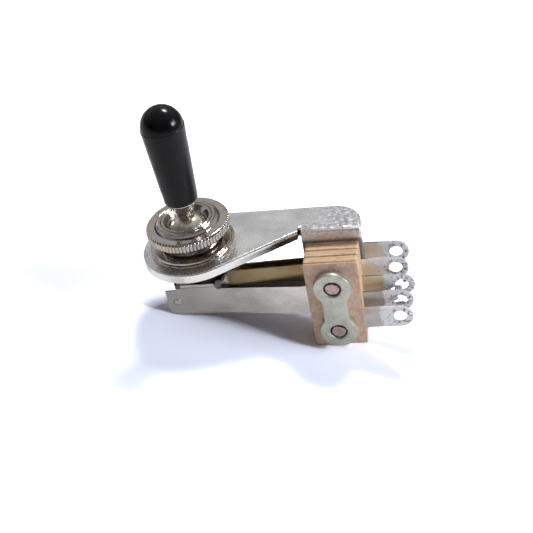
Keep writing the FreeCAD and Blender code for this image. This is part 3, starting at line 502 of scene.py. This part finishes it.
# gives a piece its finish, the node that it stands for and the body that it rides on
def settle(piece, node, finish):
    piece.data.materials.clear()
    piece.data.materials.append(finish.material)
    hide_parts(node)
    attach(piece, bodyOf[node])
    return piece


# smooth shading that stays sharp past `angle` degrees
def smooth(piece, angle=35):
    piece.data.shade_smooth()
    piece.data.set_sharp_from_angle(angle=math.radians(angle))
    normals = piece.modifiers.new("even_normals", "WEIGHTED_NORMAL")
    normals.keep_sharp = True
    return piece


# quads over a grid of points, joined round when a side closes on itself
def gridPiece(name, points, closeAround=False, closeAlong=False):
    rows, columns = points.shape[:2]
    index = np.arange(rows * columns).reshape(rows, columns)
    if closeAround:
        index = np.vstack([index, index[:1]])
    if closeAlong:
        index = np.hstack([index, index[:, :1]])
    quads = np.stack([index[:-1, :-1], index[1:, :-1], index[1:, 1:], index[:-1, 1:]], axis=-1)
    mesh = bpy.data.meshes.new(name)
    mesh.from_pydata((points.reshape(-1, 3) * mm).tolist(), [], quads.reshape(-1, 4).tolist())
    shell = bmesh.new()
    shell.from_mesh(mesh)
    bmesh.ops.remove_doubles(shell, verts=shell.verts, dist=0.0002 * mm)
    bmesh.ops.dissolve_degenerate(shell, edges=shell.edges, dist=0.00001 * mm)
    bmesh.ops.recalc_face_normals(shell, faces=shell.faces)
    shell.to_mesh(mesh)
    shell.free()
    piece = bpy.data.objects.new(name, mesh)
    bpy.context.scene.collection.objects.link(piece)
    return piece


# a turned outline from (radius, height, rounding) corners; each rounding is a short curve that
# keeps to its own half of both sides, and no step is longer than `finest`
def turnedOutline(corners, closed, finest):
    places = np.array([(r, z) for r, z, rounding in corners], float)
    count = len(places)
    line = []
    for i in range(count):
        here, rounding = places[i], corners[i][2]
        if rounding == 0 or (not closed and i in (0, count - 1)):
            line.append(here[None])
            continue
        back = places[i - 1] - here
        ahead = places[(i + 1) % count] - here
        reach = min(rounding, 0.49 * np.linalg.norm(back), 0.49 * np.linalg.norm(ahead))
        start = here + back / np.linalg.norm(back) * reach
        end = here + ahead / np.linalg.norm(ahead) * reach
        t = np.linspace(0, 1, 7)[:, None]
        line.append((1 - t) ** 2 * start + 2 * t * (1 - t) * here + t ** 2 * end)
    line = np.vstack(line)
    ends = np.vstack([line[1:], line[:1]]) if closed else line[1:]
    starts = line if closed else line[:-1]
    steps = np.maximum(1, np.ceil(np.linalg.norm(ends - starts, axis=1) / finest)).astype(int)
    split = np.concatenate([a + (b - a) * np.linspace(0, 1, n, endpoint=False)[:, None]
                            for a, b, n in zip(starts, ends, steps)])
    return split if closed else np.vstack([split, line[-1:]])


# turns an outline round Z in `count` steps; `shape` may change the radius by angle and height
def turnedPiece(name, line, count, closed=False, shape=None):
    angle = np.linspace(0, 2 * math.pi, count, endpoint=False)[:, None]
    radius = np.repeat(line[None, :, 0], count, axis=0)
    height = np.repeat(line[None, :, 1], count, axis=0)
    if shape is not None:
        radius = shape(angle, radius, height)
    points = np.stack([radius * np.cos(angle), radius * np.sin(angle), height], axis=-1)
    return gridPiece(name, points, closeAround=True, closeAlong=closed)


# a joined-up copy of a CAD piece, so that its edges can be rounded
def copyOf(node, name):
    mesh = nodes[node].data.copy()
    shell = bmesh.new()
    shell.from_mesh(mesh)
    bmesh.ops.remove_doubles(shell, verts=shell.verts, dist=0.001 * mm)
    shell.to_mesh(mesh)
    shell.free()
    piece = bpy.data.objects.new(name, mesh)
    bpy.context.scene.collection.objects.link(piece)
    return piece


# rounds the edges sharper than `angle` degrees, `edge` mm wide
def breakEdges(piece, edge, segments=3, angle=35):
    bevel = piece.modifiers.new("edges", "BEVEL")
    bevel.width = edge * mm
    bevel.segments = segments
    bevel.limit_method = "ANGLE"
    bevel.angle_limit = math.radians(angle)
    bevel.use_clamp_overlap = False


# a node's copy with its edges broken, in the node's place
def roundedCopy(node, finish, edge):
    piece = copyOf(node, node + "_finished")
    if edge:
        breakEdges(piece, edge)
    return settle(smooth(piece), node, finish)


# step: how far in from the collar's edge, height, rounding; mouth: the two beads, as radius,
# depth below the top, rounding; dish: radius, height, rounding
bushing = {"bore": 4.1, "lip": 5.9, "hole": 5.2, "plate": 1.8, "neck": 5.45,
           "step": ((0, 0, 0.1), (0, 0.72, 0.14), (0.42, 0.8, 0.08), (0.5, 1.2, 0.16)),
           "thread": 5.95, "threadFrom": 1.62, "threadTo": 5.6, "threadDepth": 0.42,
           "pitch": 0.794, "threadFade": 0.25, "threadEnd": (5.40, 0.35, 0.15),
           "mouth": ((5.38, 0.08, 0.22), (4.98, 0.06, 0.2), (4.86, 0.34, 0.08),
                     (4.74, 0.02, 0.16), (4.36, 0, 0.2)),
           "dish": ((3.5, 4.935, 0.08), (4.02, 4.0, 0)), "seat": 2.8, "count": 192}


# threaded bushing: the turned outline, whose thread's radius falls by a triangle wave of height
# less a turn's share of the pitch, which cuts a helix
def makeBushing():
    low, high = boxOf("bushing")
    collar, top = high[0], high[2]
    own = bushing
    start, stop = own["threadFrom"], own["threadTo"]
    endRadius, endLength, endRounding = own["threadEnd"]
    lip = [(own["bore"], low[2], 0.1), (own["lip"], low[2], 0.25), (own["lip"], -own["plate"], 0),
           (own["hole"], -own["plate"], 0), (own["hole"], 0, 0)]
    step = [(collar - inwards, z, rounding) for inwards, z, rounding in own["step"]]
    neck = [(own["neck"], step[-1][1], 0.06), (own["neck"], start, 0),
            (own["thread"], start, 0.06), (own["thread"], stop, 0.1),
            (endRadius, stop + endLength, endRounding)]
    mouth = [(r, top - depth, rounding) for r, depth, rounding in own["mouth"]]
    bore = [*own["dish"], (own["bore"], own["seat"], 0)]
    line = turnedOutline(lip + step + neck + mouth + bore, closed=True, finest=0.11)

    def thread(angle, radius, height):
        phase = (height / own["pitch"] - angle / (2 * math.pi)) % 1.0
        groove = np.abs(2 * phase - 1) * 1.5 - 0.25
        fade = np.clip((height - start) / own["threadFade"], 0, 1) * np.clip(
            (stop - height) / own["threadFade"], 0, 1)
        outside = radius > own["thread"] - 0.05
        return radius - outside * fade * own["threadDepth"] * np.clip(groove, 0, 1)

    piece = turnedPiece("bushing_turned", line, own["count"], True, thread)
    settle(smooth(piece, 40), "bushing", finishes["bright"])


makeBushing()


nut = {"bore": 6.0, "mouth": 0.25, "chamfer": 0.35, "teeth": 72, "depth": 0.26, "fullness": 0.7,
       "bandFrom": 0.3, "bandFade": 0.22, "perTooth": 8}


# round nut: its rim follows a row of rounded teeth, 1 - |cos|^fullness of the angle, that fade
# out at both faces
def makeNut():
    low, high = boxOf("knurled_nut")
    radius, bottom, top = high[0], low[2], high[2]
    own = nut
    chamfer, bore, mouth = own["chamfer"], own["bore"], own["mouth"]
    corners = [(bore, bottom, 0.05), (radius - chamfer, bottom, 0.1),
               (radius, bottom + chamfer, 0.08), (radius, top - chamfer, 0.08),
               (radius - chamfer, top, 0.16), (bore + mouth, top, 0.08),
               (bore, top - mouth, 0.05)]
    line = turnedOutline(corners, closed=True, finest=0.2)

    def knurl(angle, r, z):
        wave = 1 - np.abs(np.cos(angle * own["teeth"] / 2)) ** own["fullness"]
        band = np.clip((r - (radius - own["bandFrom"])) / own["bandFade"], 0, 1)
        return r - band * own["depth"] * wave

    piece = turnedPiece("knurled_nut_turned", line, own["teeth"] * own["perTooth"], True, knurl)
    settle(smooth(piece, 45), "knurled_nut", finishes["bright"])


makeNut()


lever = {"footRadius": 1.5, "ballAt": 2.8, "ballRadius": 4.0, "stemRadius": 1.65, "flareAt": 7.3,
         "stemTop": 2.6, "topFrom": 10.0, "topTo": 10.4, "studRadius": 1.9}


# lever: an arc for the ball between a straight shaft and a flaring stem
def makeLever():
    low, high = boxOf("lever")
    own = lever
    foot, stem, stud = own["footRadius"], own["stemRadius"], own["studRadius"]
    swing = np.linspace(-math.acos(foot / own["ballRadius"]), math.acos(stem / own["ballRadius"]),
                        40)
    ball = np.stack([own["ballRadius"] * np.cos(swing),
                     own["ballAt"] + own["ballRadius"] * np.sin(swing)], axis=1)
    below = turnedOutline([(0, low[2], 0), (foot, low[2], 0.2), (foot, ball[0, 1], 0)], False, 0.6)
    above = turnedOutline([(stem, ball[-1, 1], 0), (stem, own["flareAt"], 0.7),
                           (own["stemTop"], own["topFrom"], 0.15),
                           (own["stemTop"], own["topTo"], 0), (stud, own["topTo"], 0),
                           (stud, high[2], 0.3), (0, high[2], 0)], False, 0.3)
    piece = turnedPiece("lever_turned", np.vstack([below, ball[1:-1], above]), 128)
    settle(smooth(piece, 40), "lever", finishes["lever"])


tip = {"foot": 3.15, "edge": 0.32, "ledge": 0.1, "boreTop": 21.8, "boreEdge": 0.2}


# tip: a slow straight taper, a fine ledge, then a quarter circle over the top
def makeTip():
    low, high = boxOf("lever_tip")
    radius, own, bore = high[0], tip, lever["studRadius"]
    dome = radius - own["ledge"]
    swing = np.linspace(0.0, math.pi / 2, 40)
    cap = np.stack([dome * np.cos(swing), high[2] - dome + dome * np.sin(swing)], axis=1)
    cap[-1, 0] = 0
    side = turnedOutline([(0, own["boreTop"], 0), (bore, own["boreTop"] - own["boreEdge"], 0.1),
                          (bore, low[2], 0.05), (own["foot"], low[2], own["edge"]),
                          (radius, high[2] - dome, 0.05), (dome, high[2] - dome + 0.02, 0.03),
                          tuple(cap[0]) + (0,)], False, 0.5)
    piece = turnedPiece("lever_tip_moulded", np.vstack([side[:-1], cap]), 128)
    settle(smooth(piece, 40), "lever_tip", finishes["tip"])


actuator = {"rounding": 0.8, "boreRadius": 1.5, "floor": 0.7}


# actuator: a small drum with well rounded edges
def makeActuator():
    low, high = boxOf("actuator_cap")
    radius, own = high[0], actuator
    bore, inside = own["boreRadius"], low[2] + own["floor"]
    line = turnedOutline([(0, low[2], 0), (radius, low[2], own["rounding"]),
                          (radius, high[2], own["rounding"]), (bore, high[2], 0.1),
                          (bore, inside, 0), (0, inside, 0)], False, 0.3)
    piece = turnedPiece("actuator_cap_moulded", line, 96)
    settle(smooth(piece, 40), "actuator_cap", finishes["nylon"])


makeLever()
makeTip()
makeActuator()
print("toggle switch: turned pieces made")


# bracket, stack and screws: copies of the CAD pieces, each with its finish and how wide its
# edges are broken; a 0 leaves them as they are
edges = {"bracket": ("bracket", 0), "clamp_plate": ("clamp", 0.14),
         "ground_lug": ("ground_lug", 0.06), "front_inner_leaf": ("front_inner_leaf", 0.05),
         "rear_inner_leaf": ("rear_inner_leaf", 0.05), "upper_screw": ("screw", 0),
         "lower_screw": ("screw", 0), "rear_insulator": ("phenolic", 0.04),
         "rear_spacer": ("phenolic", 0.05), "middle_spacer": ("phenolic", 0.05),
         "front_spacer": ("phenolic", 0.05), "front_insulator": ("phenolic", 0.05)}
pieces = {node: roundedCopy(node, finishes[finish], edge)
          for node, (finish, edge) in edges.items()}

# y and z are the middle of the bend's round, left is where it starts
bend = {"y": 4.05, "z": -2.2, "left": plateLook["bendX"][0], "power": 7.0}


# the bend's round drawn tighter: out from its middle until |y|^power + |z|^power is constant
def tightenBend():
    mesh = pieces["bracket"].data
    place = np.empty(len(mesh.vertices) * 3)
    mesh.vertices.foreach_get("co", place)
    place = place.reshape(-1, 3) / mm
    out = np.stack([bend["y"] - place[:, 1], place[:, 2] - bend["z"]], axis=1)
    reach = np.linalg.norm(out, axis=1)
    inside = (out > 1e-4).all(axis=1) & (place[:, 0] > bend["left"])
    share = np.clip(np.abs(out) / np.maximum(reach, 1e-6)[:, None], 1e-6, 1) ** bend["power"]
    grow = np.where(inside, share.sum(axis=1) ** (-1 / bend["power"]), 1.0)
    place[:, 1] = bend["y"] - out[:, 0] * grow
    place[:, 2] = bend["z"] + out[:, 1] * grow
    mesh.vertices.foreach_set("co", (place * mm).ravel())
    mesh.update()


tightenBend()
contacts = {node: roundedCopy(node, finishes["contact"], 0.05)
            for node in ("front_outer_contact", "front_inner_contact", "rear_inner_contact",
                         "rear_outer_contact")}
print("toggle switch: bracket, stack and contacts made")

# outer leaves: each is cut into its clamped end and its free arm; in rootY a side of -1 is the
# front leaf, 1 the rear one
leaf = {"edge": 0.05, "split": 21.2, "root": 21.05, "rootY": {-1: -4.305, 1: 1.335},
        "tabReach": 7.0, "keep": 0.6}


# cuts a copy at the split plane, keeps one side and closes the cut
def leafHalf(node, name, keepFree):
    piece = copyOf(node, name)
    shell = bmesh.new()
    shell.from_mesh(piece.data)
    cut = bmesh.ops.bisect_plane(
        shell, geom=shell.verts[:] + shell.edges[:] + shell.faces[:], dist=0.0001 * mm,
        plane_co=(leaf["split"] * mm, 0, 0), plane_no=(1, 0, 0),
        clear_outer=keepFree, clear_inner=not keepFree)
    rim = [e for e in cut["geom_cut"] if isinstance(e, bmesh.types.BMEdge)]
    bmesh.ops.holes_fill(shell, edges=rim)
    bmesh.ops.recalc_face_normals(shell, faces=shell.faces)
    shell.to_mesh(piece.data)
    shell.free()
    breakEdges(piece, leaf["edge"], 2, 40)
    return settle(smooth(piece, 40), node, finishes[node])


# the leaf cut into its clamped end and its arm; the arm and its contact get meshes of their own
def makeOuterLeaf(node, contact):
    leafHalf(node, node + "_clamped", False)
    arm = leafHalf(node, node + "_arm", True)
    for piece in (arm, contacts[contact]):
        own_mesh(piece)


makeOuterLeaf("front_outer_leaf", "front_outer_contact")
makeOuterLeaf("rear_outer_leaf", "rear_outer_contact")
print("toggle switch: leaves made")

# each lump's middle and its half sizes
solder = {
    "lumpy": 0.16, "waist": 0.25,
    "lumps": (
        ((37.7, -0.545, -12.85), (0.85, 0.42, 0.62)), ((38.1, -2.425, -15.25), (1.15, 0.42, 0.5)),
        ((37.0, -2.425, -13.75), (0.9, 0.38, 0.7)), ((39.2, -0.545, -11.3), (0.5, 0.3, 0.35)))}


# solder: a waisted, lumpy pillar between the inner lugs, and rounded lumps in their holes; both
# are rings whose radius is 1 less a few waves round and along them
def makeSolder():
    low, high = boxOf("lug_solder")
    middle, reach = (low + high) / 2, (high - low) / 2
    angle = np.linspace(0, 2 * math.pi, 48, endpoint=False)[:, None]

    def lumpyPiece(name, centre, half, radius, along):
        points = np.stack([centre[0] + half[0] * radius * np.cos(angle),
                           centre[1] + half[1] * along + 0 * angle,
                           centre[2] + half[2] * radius * np.sin(angle)], axis=-1)
        piece = smooth(gridPiece(name, points, closeAround=True), 50)
        settle(piece, "lug_solder", finishes["solder"])

    along = np.linspace(0, 1, 20)[None, :]
    radius = (1 - solder["waist"] * np.sin(math.pi * along)
              - solder["lumpy"] * (0.5 + 0.5 * np.sin(3 * angle + 4 * along) * np.cos(7 * along)))
    radius = np.hstack([0 * angle, radius, 0 * angle])
    along = np.hstack([along[:, :1], along, along[:, -1:]]) * 2 - 1
    lumpyPiece("solder_pillar", middle, reach, radius, along)
    lean = np.linspace(0, math.pi, 17)[None, :]
    for number, (centre, half) in enumerate(solder["lumps"]):
        bumps = 1 - solder["lumpy"] * (0.5 + 0.5 * np.sin(3 * angle + number) * np.sin(3 * lean))
        lumpyPiece("solder_lump_" + str(number + 1), centre, half, bumps * np.sin(lean),
                   bumps * np.cos(lean))


makeSolder()

# hidden pieces keep their mesh and only take a finish
for node, finish in (("upper_tube", "tube"), ("lower_tube", "tube"), ("pivot_pin", "screw")):
    nodes[node].data.materials.clear()
    nodes[node].data.materials.append(finishes[finish].material)


# the floor's colour to soft light, to mirrors and to the camera, and where it fades to white;
# its side is in metres
table = {"tilt": 16.4, "side": 3.0, "white": (0.80, 0.80, 0.81), "mirrored": (1.02, 1.00, 1.00),
         "shown": (1.58, 1.62, 1.88), "fade": (100.0, 220.0)}


# the switch lies on its stack's edge and its outer leaves' corners, so the floor is a tilted
# square that passes through the lowest point of those pieces
def makeFloor():
    tilt = math.radians(table["tilt"])
    up = np.array([math.sin(tilt), 0, math.cos(tilt)])
    across = np.array([math.cos(tilt), 0, -math.sin(tilt)])
    heights = []
    for node in ("front_insulator", "front_outer_leaf", "bracket"):
        place = np.empty(len(nodes[node].data.vertices) * 3)
        nodes[node].data.vertices.foreach_get("co", place)
        heights.append((place.reshape(-1, 3) @ up).min())
    side = np.array([-table["side"] / 2, table["side"] / 2])
    x, y = np.meshgrid(side, side, indexing="ij")
    floor = gridPiece("floor", (x[..., None] * across + y[..., None] * np.array([0, 1, 0])
                                + up * min(heights)) / mm)
    made = Finish("floor_white", "floor")
    plain, mirrored, shown = (made.node("ShaderNodeBsdfDiffuse", {}, {"Color": (*table[key], 1.0)})
                              for key in ("white", "mirrored", "shown"))

    def mixed(factor, first, second):
        return made.node("ShaderNodeMixShader", {}, {0: factor, 1: first, 2: second})

    blank = made.node("ShaderNodeEmission", {}, {"Color": (1.0, 1.0, 1.0, 1.0)})
    shown = mixed(made.step(reachOf(made.x, made.y), *table["fade"]), shown, blank)
    both = mixed(made.node("ShaderNodeLightPath", {}, {}, "Is Glossy Ray"), plain, mirrored)
    both = mixed(made.node("ShaderNodeLightPath", {}, {}, "Is Camera Ray"), both, shown)
    under = made.node("ShaderNodeNewGeometry", {}, {}, "Backfacing")
    clear = made.node("ShaderNodeBsdfTransparent", {}, {})
    floor.data.materials.append(made.output(mixed(under, both, clear)).material)


makeFloor()

# a window behind the switch, and one to its right with a brighter pane; all look at one point
# from the same distance; that distance and the windows' sizes are in metres
lampAim = {"at": (12.0, 0.0, -4.0), "away": 0.5}
lamps = {
    "back_window": {"towards": (0.21, 0.49, 0.85), "size": (0.12, 0.07), "power": 1.55,
                    "colour": (1.0, 1.0, 1.0)},
    "side_window": {"towards": (0.95, -0.05, 0.28), "size": (0.22, 0.14), "power": 1.0,
                    "colour": (0.88, 0.93, 1.0)},
    "side_pane": {"towards": (0.935, -0.17, 0.27), "size": (0.07, 0.08), "power": 0.95,
                  "colour": (0.92, 0.95, 1.0)}}


def makeLamps():
    middle = Vector(lampAim["at"]) * mm
    for name, lamp in lamps.items():
        data = bpy.data.lights.new(name, "AREA")
        data.shape = "RECTANGLE"
        data.size, data.size_y = lamp["size"]
        data.energy = lamp["power"]
        data.color = lamp["colour"]
        light = bpy.data.objects.new(name, data)
        light.location = middle + Vector(lamp["towards"]).normalized() * lampAim["away"]
        light.rotation_euler = (middle - light.location).to_track_quat("-Z", "Y").to_euler()
        bpy.context.scene.collection.objects.link(light)


makeLamps()

# two corners of a card and its height
flag = {"low": (7.0, 9.4), "high": (47.0, 15.5), "z": -1.0}


# a card behind the plate, seen by no ray but shadow rays, keeps light off the floor below it
def makeFlag():
    x, y = np.meshgrid(*np.array([flag["low"], flag["high"]]).T, indexing="ij")
    card = gridPiece("flag", np.stack([x, y, 0 * x + flag["z"]], axis=-1))
    card.data.materials.append(Finish("flag_black", "flag").surface(
        Base_Color=(0.0, 0.0, 0.0), Roughness=1.0).material)
    card.visible_camera = card.visible_diffuse = card.visible_glossy = False
    card.visible_transmission = False


makeFlag()


# the room, by height from 0 straight down to 1 straight up, behind the switch and before it
sky = {
    "strength": 1.0, "matt": 0.2,  # matt: the share of it that lights matt surfaces
    "behind": (
        (0.0, (0.45, 0.45, 0.46)), (0.48, (0.34, 0.31, 0.27)), (0.53, (0.16, 0.13, 0.11)),
        (0.62, (0.26, 0.24, 0.22)), (0.78, (0.62, 0.61, 0.61)), (0.88, (0.45, 0.45, 0.46)),
        (1.0, (0.38, 0.38, 0.39))),
    "before": (
        (0.0, (0.45, 0.45, 0.46)), (0.48, (0.30, 0.27, 0.24)), (0.53, (0.10, 0.08, 0.065)),
        (0.72, (0.10, 0.085, 0.07)), (0.88, (0.20, 0.19, 0.19)), (1.0, (0.38, 0.38, 0.39)))}


# dim and warm round the horizon, darkest before the switch, plain white behind the floor
def makeSky():
    world = bpy.data.worlds.new("studio")
    bpy.context.scene.world = world
    world.use_nodes = True
    tree = world.node_tree
    tree.nodes.clear()

    # `_0` and so on name the input that a link goes to
    def add(kind, **links):
        made = tree.nodes.new(kind)
        for socket, source in links.items():
            tree.links.new(source, made.inputs[int(socket[1:])])
        return made

    def ramp(value, stops):
        made = add("ShaderNodeValToRGB", _0=value)
        setStops(made.color_ramp.elements, stops)
        return made.outputs[0]

    # 0.5 at `value` 0, changing by `scale`, kept within 0 and 1
    def half(value, scale):
        made = add("ShaderNodeMath", _0=value)
        made.operation = "MULTIPLY_ADD"
        made.use_clamp = True
        made.inputs[1].default_value = scale
        made.inputs[2].default_value = 0.5
        return made.outputs[0]

    place = add("ShaderNodeTexCoord").outputs["Generated"]
    parts = add("ShaderNodeSeparateXYZ", _0=place)
    height = half(parts.outputs["Z"], 0.5)
    turn = half(parts.outputs["Y"], 1.2)
    room = add("ShaderNodeMixRGB", _0=turn, _1=ramp(height, sky["before"]),
               _2=ramp(height, sky["behind"]))

    def glow(strength):
        made = add("ShaderNodeBackground", _0=room.outputs[0])
        made.inputs["Strength"].default_value = strength
        return made.outputs[0]

    white = add("ShaderNodeBackground")
    white.inputs["Color"].default_value = (1, 1, 1, 1)
    rays = add("ShaderNodeLightPath").outputs
    pick = add("ShaderNodeMixShader", _0=rays["Is Diffuse Ray"], _1=glow(sky["strength"]),
               _2=glow(sky["strength"] * sky["matt"]))
    pick = add("ShaderNodeMixShader", _0=rays["Is Camera Ray"], _1=pick.outputs[0],
               _2=white.outputs[0])
    add("ShaderNodeOutputWorld", _0=pick.outputs[0])


makeSky()

# where the photograph was taken from: round the target, in degrees, and how far away
shot = {"azimuth": -14.377, "elevation": 37.006, "roll": -12.045, "distance": 193.8,
        "target": (13.182, 0.0, -6.463), "lens": 68.32, "sensor": 36}


def makeCamera():
    azimuth, elevation, roll = (math.radians(shot[k]) for k in ("azimuth", "elevation", "roll"))
    data = bpy.data.cameras.new("camera")
    data.lens = shot["lens"]
    data.sensor_width = shot["sensor"]
    data.clip_start = 5 * mm
    turn = (Matrix.Rotation(-azimuth, 3, "Z") @ Matrix.Rotation(math.pi / 2 - elevation, 3, "X")
            @ Matrix.Rotation(roll, 3, "Z"))
    camera = bpy.data.objects.new("camera", data)
    place = Vector(shot["target"]) + turn @ Vector((0, 0, shot["distance"]))
    camera.matrix_world = Matrix.Translation(place * mm) @ turn.to_4x4()
    bpy.context.scene.collection.objects.link(camera)
    bpy.context.scene.camera = camera


makeCamera()
bpy.context.scene.view_settings.view_transform = "Standard"
print("toggle switch: studio ready")
